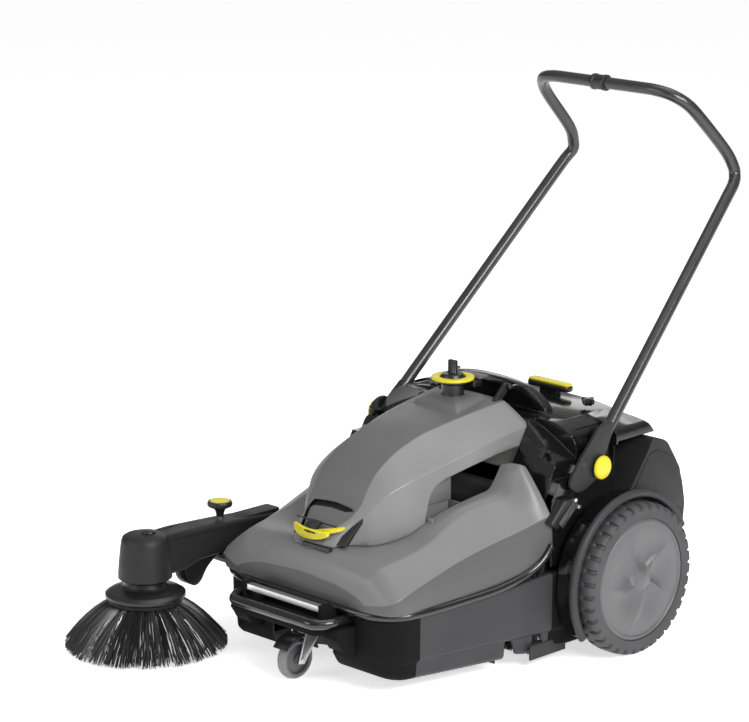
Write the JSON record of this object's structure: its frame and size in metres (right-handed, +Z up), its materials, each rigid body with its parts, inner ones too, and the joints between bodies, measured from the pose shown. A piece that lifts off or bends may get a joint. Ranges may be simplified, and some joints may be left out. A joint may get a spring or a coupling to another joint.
{
  "type": "walk behind sweeper",
  "caption": "Battery walk-behind sweeper with a bent tube push handle, large rear wheels, a front castor, a roller brush and a side brush on a lifting arm.",
  "frame": {"origin": "on the floor, under the centre of the whole machine's bounding box", "axes": "+Z up; the front (castor and side brush) faces -Y; +X to the machine's left, away from the side brush"},
  "size_m": [0.882, 1.2203, 1.0575],
  "materials": {
    "grey_cover": "satin moulded grey",
    "black_gloss": "glossy black",
    "charcoal": "fine-grained charcoal",
    "black_part": "satin black",
    "yellow": "bright yellow",
    "tyre": "matt dark rubber",
    "wheel_grey": "satin mid grey",
    "castor_rubber": "grey non-marking rubber",
    "zinc": "zinc-plated steel",
    "aluminium": "brushed aluminium",
    "bristles": "black synthetic fibre",
    "tube": "satin black powder coat",
    "battery_case": "dark grey case",
    "motor_metal": "machined grey metal",
    "filter_paper": "pleated off-white paper",
    "seal_rubber": "matt black rubber"
  },
  "bodies": {
    "frame": {"chassis_tub": "charcoal", "brush_tunnel": "zinc", "roller_bearings": "zinc", "rear_axle": "zinc", "sealing_strips": "seal_rubber", "battery": "battery_case", "drive_motor": "motor_metal", "drive_belt": "seal_rubber", "fan_housing": "black_part", "front_bonnet": "grey_cover", "rear_housing": "black_gloss", "filter_element": "filter_paper", "filter_lid": "black_gloss", "front_frame": "black_gloss", "castor_plate": "zinc", "carry_bar": "black_gloss", "accessory_rail": "aluminium", "handle_pivot_bolts": "zinc", "arm_mount": "black_part", "deck_knobs": "black_part", "wheel_arch_left": "black_gloss", "wheel_arch_right": "black_gloss"},
    "cover": {"upper_cover": "grey_cover", "console": "grey_cover", "status_display": "black_part", "selector_ring": "yellow"},
    "selector": {"selector_knob": "black_part"},
    "latch": {"cover_latch": "yellow"},
    "motor_rotor": {"motor_shaft": "zinc", "motor_pulley": "aluminium", "fan_impeller": "black_part"},
    "roller": {"roller_shaft": "zinc", "roller_core": "black_part", "roller_bristles": "bristles", "roller_pulley": "aluminium"},
    "castor": {"castor_fork": "zinc"},
    "castor_wheel": {"castor_hub": "wheel_grey", "castor_tyre": "castor_rubber"},
    "rear_wheel_left": {"wheel_left": "wheel_grey", "tyre_left": "tyre", "hub_cap_left": "wheel_grey"},
    "rear_wheel_right": {"wheel_right": "wheel_grey", "tyre_right": "tyre", "hub_cap_right": "wheel_grey"},
    "arm": {"arm_shell": "charcoal", "brush_motor": "motor_metal"},
    "height_screw": {"arm_knob": "black_part", "arm_knob_cap": "yellow"},
    "side_brush": {"brush_disc": "black_part", "brush_bristles": "bristles"},
    "handle": {"handle_tube_left": "tube", "handle_tube_right": "tube", "handle_bracket_left": "black_part", "handle_bracket_right": "black_part", "handle_sleeve": "black_part"},
    "clamp_left": {"clamp_knob_left": "yellow"},
    "clamp_right": {"clamp_knob_right": "yellow"},
    "container": {"waste_container": "black_gloss"},
    "shaker": {"shaker_handle": "black_part", "shaker_cap": "yellow"}
  },
  "joints": [
    {"name": "rear_wheel_left_roll", "type": "hinge", "parent": "frame", "child": "rear_wheel_left", "pos_m": [0.406, 0.1873, 0.15], "axis": [1, 0, 0], "continuous": true},
    {"name": "rear_wheel_right_roll", "type": "hinge", "parent": "frame", "child": "rear_wheel_right", "pos_m": [-0.284, 0.1873, 0.15], "axis": [1, 0, 0], "continuous": true},
    {"name": "castor_swivel", "type": "hinge", "parent": "frame", "child": "castor", "pos_m": [0.061, -0.3427, 0.1], "axis": [0, 0, 1], "continuous": true},
    {"name": "castor_roll", "type": "hinge", "parent": "castor", "child": "castor_wheel", "pos_m": [0.061, -0.3787, 0.04], "axis": [1, 0, 0], "continuous": true},
    {"name": "roller_spin", "type": "hinge", "parent": "frame", "child": "roller", "pos_m": [0.061, 0.0373, 0.108], "axis": [1, 0, 0], "continuous": true},
    {"name": "motor_spin", "type": "hinge", "parent": "frame", "child": "motor_rotor", "pos_m": [0.061, 0.0673, 0.272], "axis": [1, 0, 0], "continuous": true},
    {"name": "arm_lift", "type": "hinge", "parent": "frame", "child": "arm", "pos_m": [-0.281, -0.1127, 0.19], "axis": [-1, 0, 0], "range_deg": [0, 12]},
    {"name": "side_brush_spin", "type": "hinge", "parent": "arm", "child": "side_brush", "pos_m": [-0.281, -0.4537, 0.11], "axis": [0, 0, 1], "continuous": true},
    {"name": "height_screw_turn", "type": "hinge", "parent": "arm", "child": "height_screw", "pos_m": [-0.281, -0.2577, 0.23], "axis": [0, 0, 1], "range_deg": [0, 720]},
    {"name": "handle_fold", "type": "hinge", "parent": "frame", "child": "handle", "pos_m": [0.061, 0.1423, 0.37], "axis": [1, 0, 0], "range_deg": [0, 110]},
    {"name": "clamp_left_turn", "type": "hinge", "parent": "handle", "child": "clamp_left", "pos_m": [0.37, 0.1423, 0.37], "axis": [1, 0, 0], "range_deg": [0, 360]},
    {"name": "clamp_right_turn", "type": "hinge", "parent": "handle", "child": "clamp_right", "pos_m": [-0.248, 0.1423, 0.37], "axis": [1, 0, 0], "range_deg": [0, 360]},
    {"name": "cover_open", "type": "hinge", "parent": "frame", "child": "cover", "pos_m": [0.061, 0.1233, 0.492], "axis": [-1, 0, 0], "range_deg": [0, 60]},
    {"name": "latch_pull", "type": "hinge", "parent": "cover", "child": "latch", "pos_m": [0.061, -0.3207, 0.296], "axis": [-1, 0, 0], "range_deg": [0, 20]},
    {"name": "selector_turn", "type": "hinge", "parent": "cover", "child": "selector", "pos_m": [0.061, 0.0473, 0.52], "axis": [0, 0, 1], "range_deg": [-90, 90]},
    {"name": "container_pull", "type": "slide", "parent": "frame", "child": "container", "axis": [0, 1, 0], "range_m": [0, 0.25]},
    {"name": "shaker_pull", "type": "slide", "parent": "frame", "child": "shaker", "axis": [0, 0, 1], "range_m": [0, 0.02]}
  ],
  "couplings": [
    {"joint": "motor_spin", "follows": "roller_spin", "ratio": 2.6667}
  ]
}
